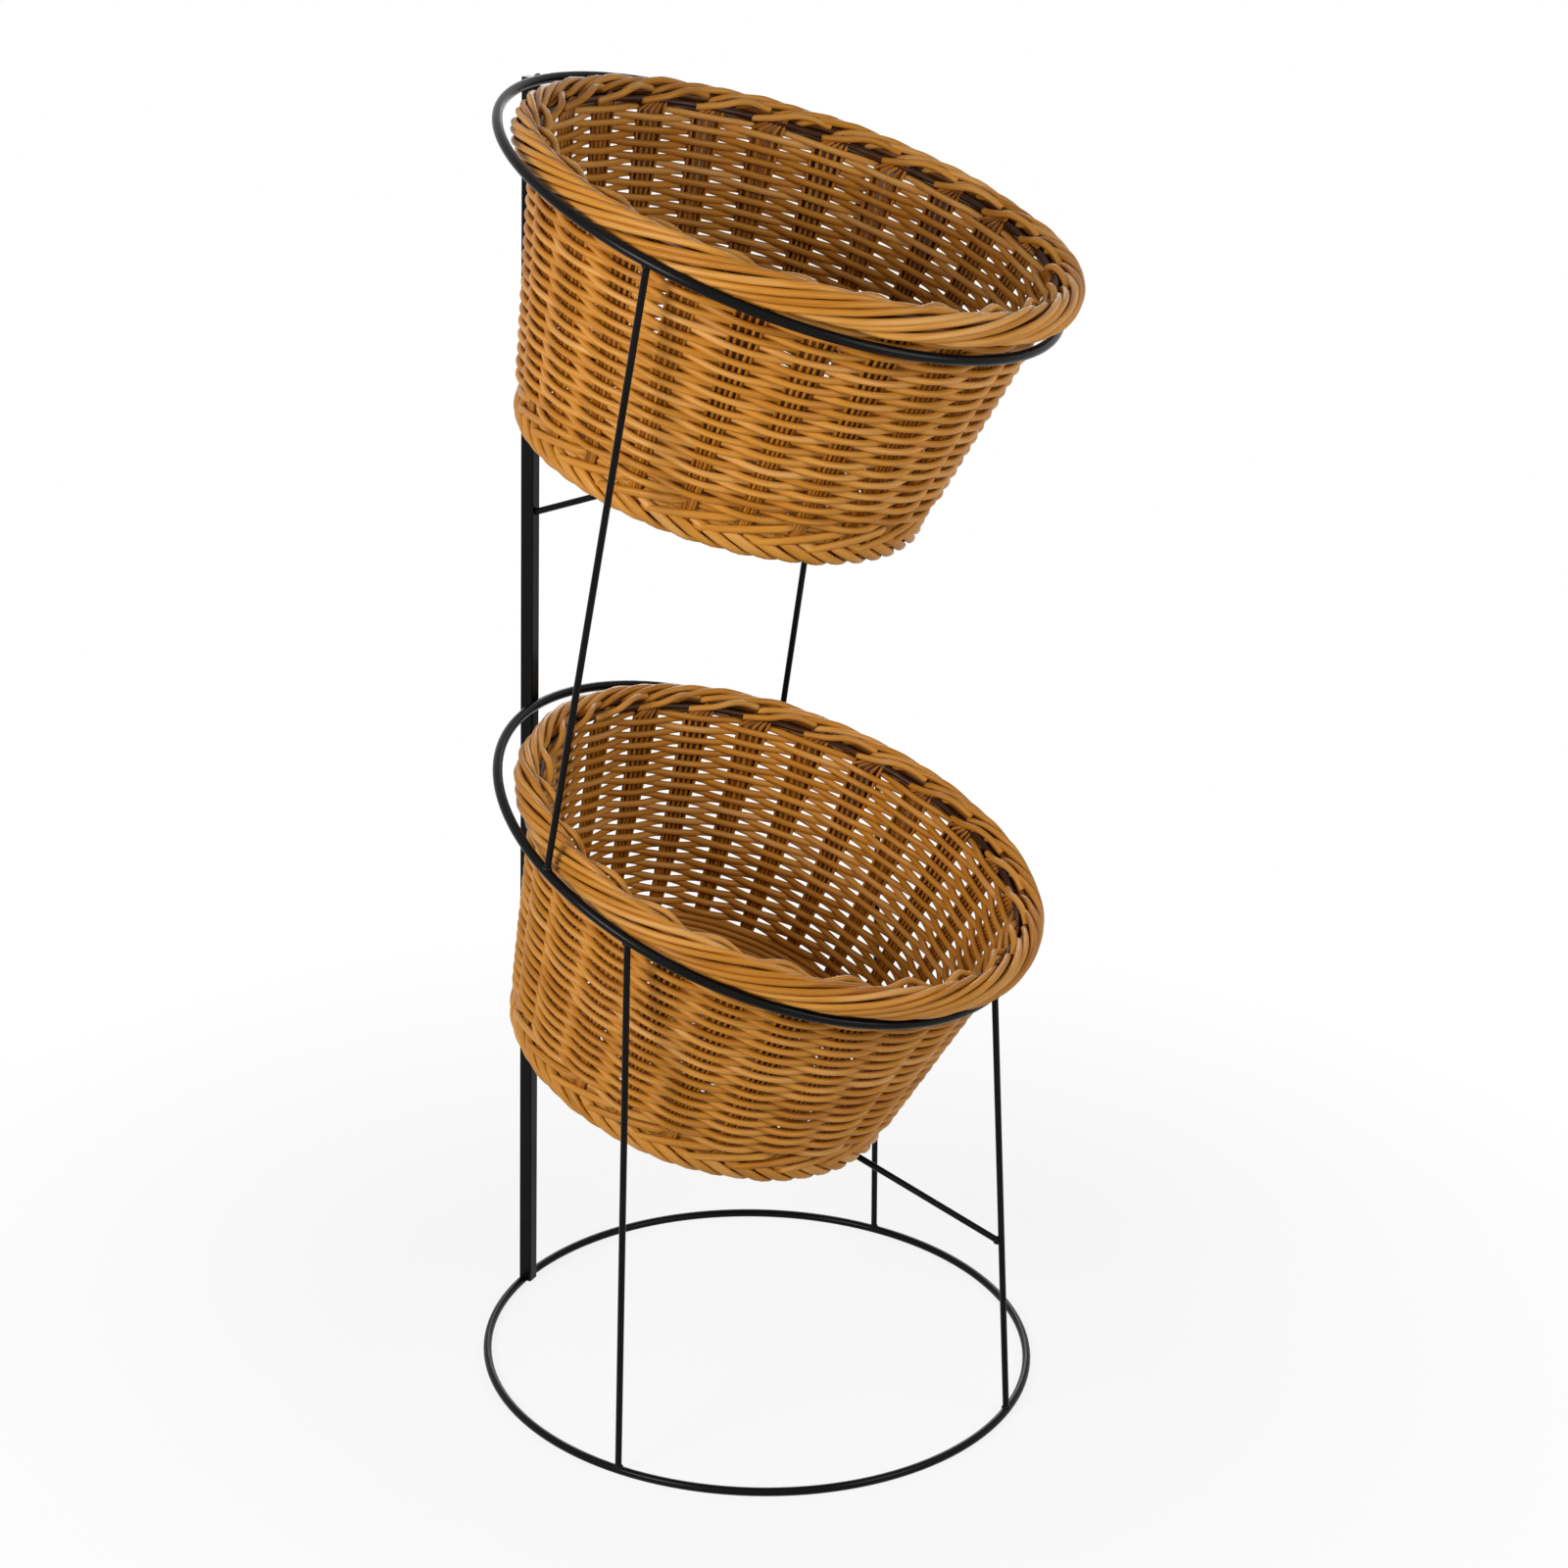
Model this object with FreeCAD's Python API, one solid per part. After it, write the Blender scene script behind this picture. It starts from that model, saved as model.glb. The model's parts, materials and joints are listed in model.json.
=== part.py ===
import FreeCAD, Part
import math
import os

# A two-tier display stand for produce: a welded wire frame that holds two round
# tapered baskets, one above the other, each leaning forward in its own hoop.
# Lengths are millimetres and angles degrees. The origin lies on the floor at the
# middle of the base hoop, +Z is up, -Y is the front and the post stands at the back.

# Frame sizes
base_hoop_radius = 200.0       # to the centre of the rod
basket_hoop_radius = 195.0     # to the centre of the rod, both hoops alike
base_rod = 6.0                 # diameter of the base hoop's rod
hoop_rod = 6.8                 # and of the basket hoops' rod
lower_hoop_tilt = 22.1         # the basket hoops lean forward
upper_hoop_tilt = 20.9
lower_hoop_height = 398.5      # middle of the hoop above the floor
upper_hoop_height = 842.7
wire = 4.6                     # diameter of legs, uprights and support bars
post_width = 10.0              # square tube
post_wall = 1.2
post_corner = 1.2              # outside corner radius of the tube
post_bore_corner = 0.4         # inside corner radius of the tube
post_inset = 2.0               # foot of the post's axis inside the base hoop's rod centre
post_lean = 0.25               # the post leans forward a little
post_cap_thickness = 1.5

# Where wires meet the hoops, as angles seen from above: 0 is right, 90 is the back
left_leg_foot = 178.0
right_leg_foot = -1.0
front_leg_foot = 270.0
left_leg_top = 180.0
right_leg_top = 0.0
front_leg_top = 270.0
left_upright_foot = 157.5
right_upright_foot = 24.2
left_upright_top = 181.7
right_upright_top = 9.6

# Basket sizes
basket_height = 204.0          # foot to top of the rolled border
basket_play = 12.9             # room between basket wall and hoop when centred
lower_slide = 1.0              # share of that room by which the basket is slid forward
upper_slide = 0.77
wall_foot_radius = 146.0       # outside of the wall where it stands on the foot border
wall_thickness = 12.0          # over the outer and inner floats of the weave
border_overhang = 15.0         # rolled border outside the top of the wall
border_width = 25.7
border_height = 25.0           # at the outside, where it rolls down over the hoop
border_fall = 8.0              # its top slopes down to the inside by this much
border_lip = 4.5               # its height at the inside
border_chamfer = 7.0           # its outer corners, which the strands roll round
foot_width = 18.0
foot_height = 18.0
foot_chamfer = 5.0
foot_inset = 1.5               # foot border inside the bottom of the wall
floor_thickness = 9.0
floor_recess = 4.0             # floor's underside above the foot's underside
stake_count = 24               # bundles of upright strands round the wall
stake_turn = 4.5               # first bundle, from the right towards the back
stake_width = 11.5
stake_thickness = 5.0
window_height = 8.0            # open row between the border and the wall's outside

# Fits
lower_post_gap = 2.7           # foot of the leaning basket to the face of the post
upper_post_gap = 5.5
lower_bar_gap = 0.5            # lower support bar under the foot of its basket
seat_gap = 0.3                 # baskets to their hoops, upper basket to its support bar
soft_gap = 0.2                 # floor edge to foot border
stake_gap = 0.3                # tops of the bundles under the border
strut_slope = 20.7             # upper support bar rises forward at this angle
strut_toe = 40.0               # its end, bent to lie along the basket's floor
strut_bend = 12.0              # radius of that bend

V = FreeCAD.Vector
rod_r = hoop_rod / 2
wire_r = wire / 2
post_y = base_hoop_radius - post_inset
post_slope = math.tan(math.radians(post_lean))
base_level = base_rod / 2


def tilted(y, z, tilt):
    """Turns a point of a leaning plane into frame axes: y along it, z square to it."""
    a = math.radians(tilt)
    return V(0, y * math.cos(a) - z * math.sin(a), y * math.sin(a) + z * math.cos(a))


def post_face(z):
    """How far back the front face of the post is at height z."""
    return post_y - (z - base_level) * post_slope - post_width / 2


def on_post(height, tilt):
    """Middle of a leaning hoop whose back point touches the front face of the post."""
    back = tilted(basket_hoop_radius, 0, tilt)
    return V(0, post_face(height + back.z) - rod_r - back.y, height)


lower_hoop_centre = on_post(lower_hoop_height, lower_hoop_tilt)
upper_hoop_centre = on_post(upper_hoop_height, upper_hoop_tilt)
base_centre = V(0, 0, base_level)
post_top = upper_hoop_height + basket_hoop_radius * math.sin(math.radians(upper_hoop_tilt))

wall_top_radius = basket_hoop_radius - rod_r - basket_play
border_bottom = basket_height - border_height
border_outer = wall_top_radius + border_overhang
border_inner = border_outer - border_width
border_lip_bottom = basket_height - border_fall - border_lip
underside_slope = (border_lip_bottom - border_bottom) / (border_width - border_chamfer)
wall_top = border_bottom + (border_overhang - border_chamfer) * underside_slope - window_height
wall_slope = (wall_top_radius - wall_foot_radius) / (border_bottom - foot_height)
foot_outer = wall_foot_radius - foot_inset
foot_inner = foot_outer - foot_width

# Section of the rolled border as (radius, height) points. It thins to the inside of the basket.
border_section = [(border_outer - border_chamfer, basket_height),
                  (border_inner, basket_height - border_fall), (border_inner, border_lip_bottom),
                  (border_outer - border_chamfer, border_bottom), (border_outer, border_bottom + border_chamfer),
                  (border_outer, basket_height - border_chamfer)]


def wall_radius(z):
    """Outside radius of the basket wall at height z above the basket's foot."""
    return wall_foot_radius + (z - foot_height) * wall_slope


def on_hoop(centre, radius, tilt, angle):
    a = math.radians(angle)
    p = tilted(radius * math.sin(a), 0, tilt)
    return centre + V(radius * math.cos(a), p.y, p.z)


def hoop(centre, radius, tilt, rod_radius):
    ring = Part.makeTorus(radius, rod_radius)
    ring.rotate(V(0, 0, 0), V(1, 0, 0), tilt)
    ring.translate(centre)
    return ring


def rod(start, end):
    along = end - start
    return Part.makeCylinder(wire_r, along.Length, start, along)


def largest(shape):
    """The main solid of a cut piece, without the offcuts."""
    return max(shape.Solids, key=lambda solid: solid.Volume)


def coped(start, end, *against):
    """A wire between two points, its ends shaped to the pieces it is welded to."""
    return largest(rod(start, end).cut(list(against)))


def square(width, corner):
    """A rounded square, centred, in the XY plane."""
    half = width / 2
    flat = half - corner
    side = corner * math.sqrt(0.5)
    edges = []
    for turn in range(4):
        spin = FreeCAD.Rotation(V(0, 0, 1), 90 * turn)
        points = [V(half, -flat, 0), V(half, flat, 0), V(flat + side, flat + side, 0), V(flat, half, 0)]
        a, b, c, d = [spin.multVec(p) for p in points]
        edges.append(Part.LineSegment(a, b).toShape())
        edges.append(Part.Arc(b, c, d).toShape())
    return Part.Wire(edges)


def post():
    length = post_top - base_level
    outer = Part.Face(square(post_width, post_corner)).extrude(V(0, 0, length))
    bore_width = post_width - 2 * post_wall
    inner = Part.Face(square(bore_width, post_bore_corner)).extrude(V(0, 0, length))
    tube = placed(outer.cut(inner), post_lean, V(0, post_y, base_level))
    return largest(tube.cut(base_ring))


def post_cap():
    plate = Part.Face(square(post_width, post_corner)).extrude(V(0, 0, post_cap_thickness))
    plate.translate(V(0, 0, post_top - base_level))
    return placed(plate, post_lean, V(0, post_y, base_level))


def revolved(points):
    """A ring about the basket's axis from a closed outline of (radius, height) points."""
    outline = Part.makePolygon([V(r, 0, z) for r, z in points + points[:1]])
    return Part.Face(outline).revolve(V(0, 0, 0), V(0, 0, 1), 360).Solids[0]


def chamfered_ring(inner, outer, low, high, chamfer):
    """A ring with a rectangular section whose four corners are cut off."""
    return revolved([(outer - chamfer, high), (inner + chamfer, high), (inner, high - chamfer),
                     (inner, low + chamfer), (inner + chamfer, low), (outer - chamfer, low),
                     (outer, low + chamfer), (outer, high - chamfer)])


def basket_wall():
    low, high = foot_height, wall_top
    outer_low, outer_high = wall_radius(low), wall_radius(high)
    return revolved([(outer_low - wall_thickness, low), (outer_low, low),
                     (outer_high, high), (outer_high - wall_thickness, high)])


def basket_floor():
    return Part.makeCylinder(foot_inner - soft_gap, floor_thickness, V(0, 0, floor_recess))


def rim_stakes(border):
    """The bundles of strands that show in the open row, their tops shaped to the border."""
    inset = (wall_thickness - stake_thickness) / 2
    low, high = wall_top, border_lip_bottom
    outside_low, outside_high = wall_radius(low) - inset, wall_radius(high) - inset
    corners = [V(outside_low - stake_thickness, 0, low), V(outside_low, 0, low),
               V(outside_high, 0, high), V(outside_high - stake_thickness, 0, high)]
    bundle = Part.Face(Part.makePolygon(corners + corners[:1])).extrude(V(0, stake_width, 0))
    bundle.translate(V(0, -stake_width / 2, 0))
    above = border.copy()
    above.translate(V(0, 0, -stake_gap))
    bundle = largest(bundle.cut(above))
    stakes = []
    for number in range(stake_count):
        stake = bundle.copy()
        stake.rotate(V(0, 0, 0), V(0, 0, 1), 360 * number / stake_count + stake_turn)
        stakes.append(stake)
    return Part.makeCompound(stakes)


def outside_of(section, radius, height):
    """How far a point lies outside a ring's section; less than nothing if it is inside."""
    square_off = []
    nearest = []
    for (r1, z1), (r2, z2) in zip(section, section[1:] + section[:1]):
        length = math.hypot(r2 - r1, z2 - z1)
        off = ((radius - r1) * (z2 - z1) - (height - z1) * (r2 - r1)) / length
        along = ((radius - r1) * (r2 - r1) + (height - z1) * (z2 - z1)) / length
        past_end = along - min(max(along, 0), length)
        square_off.append(off)
        nearest.append(math.hypot(off, past_end))
    return min(nearest) if max(square_off) > 0 else max(square_off)


def border_gap(tilt, lift, seat):
    """Least gap between the rolled border, `lift` above its hoop's plane, and the hoop."""
    hoop_centre, hoop_tilt, _ = seat
    foot = basket_foot(tilt, lift, seat)
    gaps = []
    for angle in range(-90, 91, 2):  # one half of the hoop, as the other is its mirror
        p = on_hoop(hoop_centre, basket_hoop_radius, hoop_tilt, angle) - foot
        local = tilted(p.y, p.z, -tilt)
        gaps.append(outside_of(border_section, math.hypot(p.x, local.y), local.z) - rod_r)
    return min(gaps)


def basket_foot(tilt, lift, seat):
    """Middle of the foot's underside, for a basket slid forward in its hoop."""
    hoop_centre, hoop_tilt, slide = seat
    border_middle = hoop_centre + tilted(-slide * basket_play, lift, hoop_tilt)
    return border_middle - tilted(0, border_bottom, tilt)


def halved(low, high, fits):
    """Narrows a range, by halving, to the last value that still fits; `low` fits."""
    while high - low > 1e-3:
        middle = (low + high) / 2
        if fits(middle):
            low = middle
        else:
            high = middle
    return low


def lowered(tilt, seat):
    """Foot of a basket that is let down into its hoop until the border comes to the rod."""
    drop = halved(-border_height, border_height, lambda d: border_gap(tilt, -d, seat) >= seat_gap)
    return basket_foot(tilt, -drop, seat)


def seated(post_gap, seat):
    """Lean and foot of a basket that hangs in its hoop with its foot back near the post."""
    def clears_post(tilt):
        corners = (tilted(foot_outer, foot_chamfer, tilt), tilted(foot_outer - foot_chamfer, 0, tilt))
        foot = lowered(tilt, seat)
        return all(foot.y + c.y <= post_face(foot.z + c.z) - post_gap for c in corners)
    tilt = halved(0, seat[1], clears_post)
    return tilt, lowered(tilt, seat)


def placed(shape, tilt, foot):
    piece = shape.copy()
    piece.rotate(V(0, 0, 0), V(1, 0, 0), tilt)
    piece.translate(foot)
    return piece


def basket(name, tilt, foot):
    """The pieces of one basket, in its place on the stand."""
    border = revolved(border_section)
    pieces = {
        "wall": basket_wall(),
        "floor": basket_floor(),
        "rim_border": border,
        "foot_border": chamfered_ring(foot_inner, foot_outer, 0, foot_height, foot_chamfer),
        "rim_stakes": rim_stakes(border),
    }
    return {name + "_basket_" + part: placed(shape, tilt, foot) for part, shape in pieces.items()}


def bent_bar(points, radius):
    """A wire through three points with a round bend at the middle one."""
    start, corner, end = points
    back = V(start - corner).normalize()
    onward = V(end - corner).normalize()
    half = back.getAngle(onward) / 2
    reach = radius / math.tan(half)
    first = corner + back * reach
    last = corner + onward * reach
    bisector = V(back + onward).normalize()
    middle = corner + bisector * (radius / math.sin(half) - radius)
    path = Part.Wire([Part.LineSegment(start, first).toShape(),
                      Part.Arc(first, middle, last).toShape(),
                      Part.LineSegment(last, end).toShape()])
    section = Part.Wire(Part.makeCircle(wire_r, start, V(first - start)))
    return path.makePipeShell([section], True, True)


def to_post(start, along):
    """Where a line comes to the middle of the post."""
    run = post_y - (start.z - base_level) * post_slope - start.y
    return start + along * (run / (along.y + along.z * post_slope))


# The stand's frame
base_ring = hoop(base_centre, base_hoop_radius, 0, base_rod / 2)
lower_ring = hoop(lower_hoop_centre, basket_hoop_radius, lower_hoop_tilt, rod_r)
upper_ring = hoop(upper_hoop_centre, basket_hoop_radius, upper_hoop_tilt, rod_r)
back_post = post()

leg_ends = {}
for leg, foot_angle, top_angle in (("left_leg", left_leg_foot, left_leg_top),
                                   ("right_leg", right_leg_foot, right_leg_top),
                                   ("front_leg", front_leg_foot, front_leg_top)):
    leg_ends[leg] = (on_hoop(base_centre, base_hoop_radius, 0, foot_angle),
                     on_hoop(lower_hoop_centre, basket_hoop_radius, lower_hoop_tilt, top_angle))
legs = {leg: coped(foot, top, base_ring, lower_ring) for leg, (foot, top) in leg_ends.items()}

upright_ends = {}
for upright, foot_angle, top_angle in (("left_upright", left_upright_foot, left_upright_top),
                                       ("right_upright", right_upright_foot, right_upright_top)):
    upright_ends[upright] = (on_hoop(lower_hoop_centre, basket_hoop_radius, lower_hoop_tilt, foot_angle),
                             on_hoop(upper_hoop_centre, basket_hoop_radius, upper_hoop_tilt, top_angle))
uprights = {name: coped(foot, top, lower_ring, upper_ring) for name, (foot, top) in upright_ends.items()}

# The baskets, seated in their hoops
lower_tilt, lower_foot = seated(lower_post_gap, (lower_hoop_centre, lower_hoop_tilt, lower_slide))
upper_tilt, upper_foot = seated(upper_post_gap, (upper_hoop_centre, upper_hoop_tilt, upper_slide))
baskets = basket("lower", lower_tilt, lower_foot)
baskets.update(basket("upper", upper_tilt, upper_foot))

# The lower support bar runs under the lower basket's foot, from front leg to post
bar_line = lower_foot + tilted(0, -lower_bar_gap - wire_r, lower_tilt)
bar_along = tilted(1, 0, lower_tilt)
leg_foot, leg_top = leg_ends["front_leg"]
leg_along = V(leg_top - leg_foot).normalize()
across = bar_along.y * leg_along.z - bar_along.z * leg_along.y
to_leg = leg_foot - bar_line
bar_front = bar_line + bar_along * ((to_leg.y * leg_along.z - to_leg.z * leg_along.y) / across)
meeting = bar_along.getAngle(leg_along)
end_cut = (wire_r + wire_r * abs(math.cos(meeting))) / math.sin(meeting)
bar_start = bar_front + bar_along * end_cut
bar_back = to_post(bar_line, bar_along)
lower_support_bar = coped(bar_start, bar_back, back_post)

# The upper support bar rises from the post to the middle of the upper basket's floor
toe_level = floor_recess - seat_gap - wire_r
toe_corner = upper_foot + tilted(0, toe_level, upper_tilt)
toe_end = upper_foot + tilted(-strut_toe, toe_level, upper_tilt)
strut_foot = to_post(toe_corner, tilted(1, 0, -strut_slope))
upper_support_bar = largest(bent_bar([strut_foot, toe_corner, toe_end], strut_bend).cut(back_post))

nodes = {
    "base_ring": base_ring,
    "lower_ring": lower_ring,
    "upper_ring": upper_ring,
    "back_post": back_post,
    "post_cap": post_cap(),
    "lower_support_bar": lower_support_bar,
    "upper_support_bar": upper_support_bar,
}
nodes.update(legs)
nodes.update(uprights)
nodes.update(baskets)

os.makedirs("parts", exist_ok=True)
for node, shape in nodes.items():
    shape.exportStep("parts/" + node + ".step")
print(len(nodes), "nodes")
print("baskets lean", round(lower_tilt, 2), "and", round(upper_tilt, 2), "degrees")
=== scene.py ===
import json
import math

import bpy
import numpy as np
from mathutils import Matrix, Vector

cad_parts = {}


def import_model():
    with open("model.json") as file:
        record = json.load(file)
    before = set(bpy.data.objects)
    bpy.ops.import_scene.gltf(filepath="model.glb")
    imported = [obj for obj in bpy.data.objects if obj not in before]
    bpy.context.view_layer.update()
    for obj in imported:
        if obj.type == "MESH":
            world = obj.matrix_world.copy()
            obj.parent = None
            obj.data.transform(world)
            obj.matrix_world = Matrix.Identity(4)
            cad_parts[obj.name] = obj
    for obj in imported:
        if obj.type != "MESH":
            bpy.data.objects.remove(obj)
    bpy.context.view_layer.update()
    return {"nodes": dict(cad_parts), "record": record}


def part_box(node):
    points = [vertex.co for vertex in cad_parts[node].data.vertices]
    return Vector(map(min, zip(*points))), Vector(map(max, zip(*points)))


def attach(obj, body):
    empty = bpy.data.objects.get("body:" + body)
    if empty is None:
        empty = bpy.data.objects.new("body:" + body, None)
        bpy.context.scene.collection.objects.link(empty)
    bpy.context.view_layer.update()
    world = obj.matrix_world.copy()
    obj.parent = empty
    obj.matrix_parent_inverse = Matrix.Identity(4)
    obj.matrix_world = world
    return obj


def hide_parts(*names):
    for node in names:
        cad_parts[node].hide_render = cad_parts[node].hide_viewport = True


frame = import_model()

# The looks of a two-tier display stand: woven baskets, welds, finishes, light and camera.
# Sizes of strands and beads are millimetres in the named values. Meshes, floor, light and camera
# are in metres. Baskets are woven in their own axes, with the height measured up from the foot,
# and then set where their CAD pieces are.

MM = 0.001

# How finely strands are made: corners round a strand, and points along it
SIDES = 8
COVERED_SIDES = 7            # of strands that others cover for the most part
SPOKE_SIDES = 6
BEAD_SIDES = 12
WEAVER_POINTS = 10           # for each stake that a weaver passes
BACK_POINTS = 6              # and for each stake in a plain row
STAKE_POINTS = 18
RIM_POINTS = 64
FOOT_POINTS = 48
SHORT_POINTS = 30            # strands of the lip, and risers
CORE_POINTS = 144
SPOKE_POINTS = 24
BEAD_POINTS = 9
CORNER_REACH = 0.12          # share of a rolled strand's path over which its corners are rounded
CORNER_STEPS = 40            # finer steps for each point while that is done
GRAIN_SHIFT = 7.3            # metres of grain for one step of tone, so that no two strands look alike
RIPPLES = (2, 3, 5, 9)       # waves round the basket in a strand's uneven lie
SAME_LEVEL = 0.1             # CAD corners this near in height belong to one edge
CAP_RADIUS, CAP_STEP = 0.4, 1.5   # discs for a strand's two ends in its flat map, in cells

# Upright strands, in bundles
STAKES = 24
STAKE_START = 4.5            # degrees from the right, towards the back, to the first stake
BUNDLE = 5                   # strands in a bundle
STAKE_STRAND = 2.7           # diameter of one of them
BUNDLE_STEP_TOP = 5.2        # from one to the next, under the border
BUNDLE_STEP_FOOT = 1.9       # and at the foot
SHADE_STRIP = 1.0            # thickness of the flat strand that fills the gaps between them, a dark sheet of painted shade
STAKE_LEAN = 1.8             # degrees that a stake falls back from border to foot
STAKE_BEND = 0.25            # uneven lie of a strand
STAKE_TURN = 9.0             # its top bends over to the side by this much
STAKE_GATHER = 0.7           # and its strands close up there by this share
STAKE_BELOW = 8.0            # how far a stake runs down behind the foot border
STAKE_ABOVE = 10.0           # and how far below the top of the rolled border it ends

# Weavers of the wall
WALL_ROWS = 35
FIRST_ROW = 12.5             # lowest row, above the wall's CAD underside
LAST_ROW = 8.0               # highest row, above the wall's CAD top
FLOAT_OUTSIDE = 4.1          # height of a weaver where it passes outside a stake
FLOAT_INSIDE = 5.0           # and inside
CROSS_HEIGHT = 5.2           # and between two
WEAVER_THICKNESS = 4.8
WEAVE_DEPTH = 3.3            # weaver's centre to either side
WEAVE_OUT = 0.8              # and the weave as a whole out from the middle of the wall
WEAVE_RIDE = 0.9             # a weaver lies higher outside the stakes than inside
WEAVE_SNAP = 0.8             # how fast a weaver changes sides between two stakes
WEAVER_PLAY = 0.22           # uneven lie of a weaver
WEAVER_SWAY = 0.03           # its depth differs from stake to stake by about this share
WEAVER_VARY = 0.03           # and its height from row to row
BACK_ROWS = (-2.0, 2.5, 7.0, 11.5)   # plain rows inside the wall's foot, above its CAD underside

# Rolled border: (in from its CAD outside, down from its CAD top, degrees to the rim) along a strand
RIM_ROLL = ((13.0, 18.0, 14.0), (9.5, 22.5, 13.0), (4.6, 20.8, 12.0), (2.6, 17.0, 12.0), (2.6, 8.0, 12.0),
            (7.4, 2.8, 12.0), (12.0, 4.4, 13.0), (14.5, 6.0, 16.0), (15.2, 8.4, 24.0), (13.5, 11.0, 40.0),
            (11.0, 12.5, 55.0))
RIM_STRANDS = 2              # for each stake
RIM_PAIR = 0.42              # second strand of a pair, as a share of the step between stakes
RIM_WIDTH = 4.7
RIM_THICKNESS = 5.2
RIM_PLAY = 0.55              # uneven lie of a strand, and degrees that its start is off
ROLL_VARY = 0.035            # width of a rolled strand differs by about this share
# Where strands run round inside it, as (in, down)
RIM_CORE = ((8.5, 9.0), (8.5, 15.5), (12.5, 10.0), (13.0, 16.0), (17.5, 14.0))

# Short strands on the border's inner edge, one for each stake, as (in, down) along a strand
LIP_ROLL = ((12.5, 8.0), (17.0, 4.6), (21.5, 4.2), (23.4, 5.6), (23.6, 9.0), (19.0, 15.0))
LIP_REACH = 18.0             # degrees round the basket
LIP_STRAND = 4.8
LIP_CORNERS = 0.2            # share of its path over which corners are rounded
LIP_OUT = (-0.6, 0.8)        # the way out of the border there: in and up

# Foot border: (in from its CAD outside, up from its CAD underside, degrees to the foot) along a strand
FOOT_ROLL = ((7.0, 16.5, 24.0), (3.4, 14.6, 24.0), (2.4, 11.0, 24.0), (2.4, 6.5, 25.0), (5.6, 2.4, 27.0),
             (11.0, 2.3, 27.0), (15.2, 4.6, 27.0), (15.6, 9.0, 27.0), (12.5, 12.5, 27.0))
FOOT_STRANDS = 2             # for each stake
FOOT_WIDTH = 7.0
FOOT_THICKNESS = 4.6
FOOT_TURN = 0.3              # degrees that a strand's start is off
FOOT_PLAY = 0.25             # uneven lie of a strand
FOOT_PLAY_OUT = 0.2          # and the most of it that stands out
# Where strands run round inside it, as (in, up)
FOOT_CORE = ((7.0, 6.5), (7.0, 12.0), (12.0, 6.5), (12.0, 12.0))

# Strands inside both borders, and the tones of painted shade given to what lies deep in the weave
CORE_STRAND = 5.6            # diameter
SHADE_COVERED = -1.0                   # painted shade: a lower tone for strands that others cover for the most part
SHADE_DEEP = -2.2                  # and a darker painted shade for those that lie in the gaps between them

# Strands that rise from the foot border to the wall, one for each stake
RISER_REACH = 29.0           # degrees round the basket
RISER_FROM = 10.5            # height of its middle line above the foot where it starts
RISER_TO = 28.5              # and where it ends
RISER_WIDTH = 5.8
RISER_DIP = 5.0              # its ends go in by this much
RISER_END = 0.16             # over this share of its length
RISER_TAPER = 0.7            # and are this share of its width

# Floor of rings woven over spokes
SPOKE_STRAND = 3.0
SPOKE_FLAT = 0.8             # a spoke's thickness as a share of its width
FLOOR_PITCH = 4.9            # about this much from one ring to the next
FLOOR_START = 7.0            # radius of the first ring
FLOOR_CHANGE = 0.46          # share of the radius beyond which there are twice as many spokes
FLOOR_EDGE = 1.0             # last ring inside the floor's CAD edge
FLOOR_DEPTH = 2.0            # a ring's centre to either side of the spokes
FLOOR_STRAND = 4.3           # thickness of a ring
FLOOR_WIDE = 1.2             # its width as a multiple of that

# Seeds of the uneven lie and tones of each basket
BASKET_SEEDS = {"lower": 11, "upper": 23}

# Weld beads
WELDED_WIRES = ("left_leg", "right_leg", "front_leg", "left_upright", "right_upright", "lower_support_bar")
WELDED_HOOPS = ("lower_ring", "upper_ring")
WIRE_BEAD = 3.4              # radius of a bead
HOOP_BEAD = 3.6
HOOP_ROD = 6.8               # diameter of the rod that a hoop is made of
BEAD_REACH = 0.75            # half its length as a share of its radius
BEAD_BLUNT = 0.94            # how much of a ball's outline it has along that length
BEAD_VARY = 0.06             # its thickness differs along it by about this share
BEAD_SEED = 5
NO_WIRE = (0.31, 0.92, 0.24)   # a direction that no wire runs in

# Finishes
NOISE_ROUGHNESS = 0.55
# Strand colours from dark to pale: the near-black first stop is painted shade for the covered and deep
# strands, and the pale last stop is partly the strands' own paler tone, partly painted sheen
RATTAN_TONES = ((0.0, (0.03, 0.008, 0.001)), (0.28, (0.24, 0.078, 0.006)), (0.50, (0.41, 0.155, 0.014)),
                (0.70, (0.53, 0.225, 0.028)), (0.92, (0.64, 0.33, 0.095)))
RATTAN_ROUGHNESS = (0.32, 0.48)
RATTAN_SPECULAR = 0.2
STREAKS = (35.0, 900.0, 900.0)    # per metre, along a strand and across it
PATCHES = (14.0, 60.0, 60.0)
# Weights in the strand colour mix; the tone weight also scales painted shade
STREAK_SHARE, PATCH_SHARE, TONE_AND_SHADE_SHARE = 0.55, 0.5, 0.28
STREAK_BUMP, STREAK_DEPTH = 0.35, 0.4    # strength, and depth in millimetres
PAINT_TONES = ((0.3, (0.002, 0.002, 0.0023)), (0.7, (0.004, 0.004, 0.0045)))
PAINT_ROUGHNESS = (0.18, 0.28)
PAINT_SPECULAR = 0.09
PEEL, CLOUD = 900.0, 22.0         # per metre
PEEL_SHARE, CLOUD_SHARE = 0.4, 0.6
PEEL_BUMP, PEEL_DEPTH = 0.02, 0.2        # strength, and depth in millimetres

# Pale floor
FLOOR_HALF = 30.0                 # from its middle to its sides
FLOOR_COLOUR = (0.75, 0.75, 0.75, 1.0)
FLOOR_ROUGHNESS = 0.9
FLOOR_WHITE = (0.85, 1.0)         # share of plain white in it, near the stand and far off
FLOOR_FADE = (0.3, 0.8)           # distances between which that share changes

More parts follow.
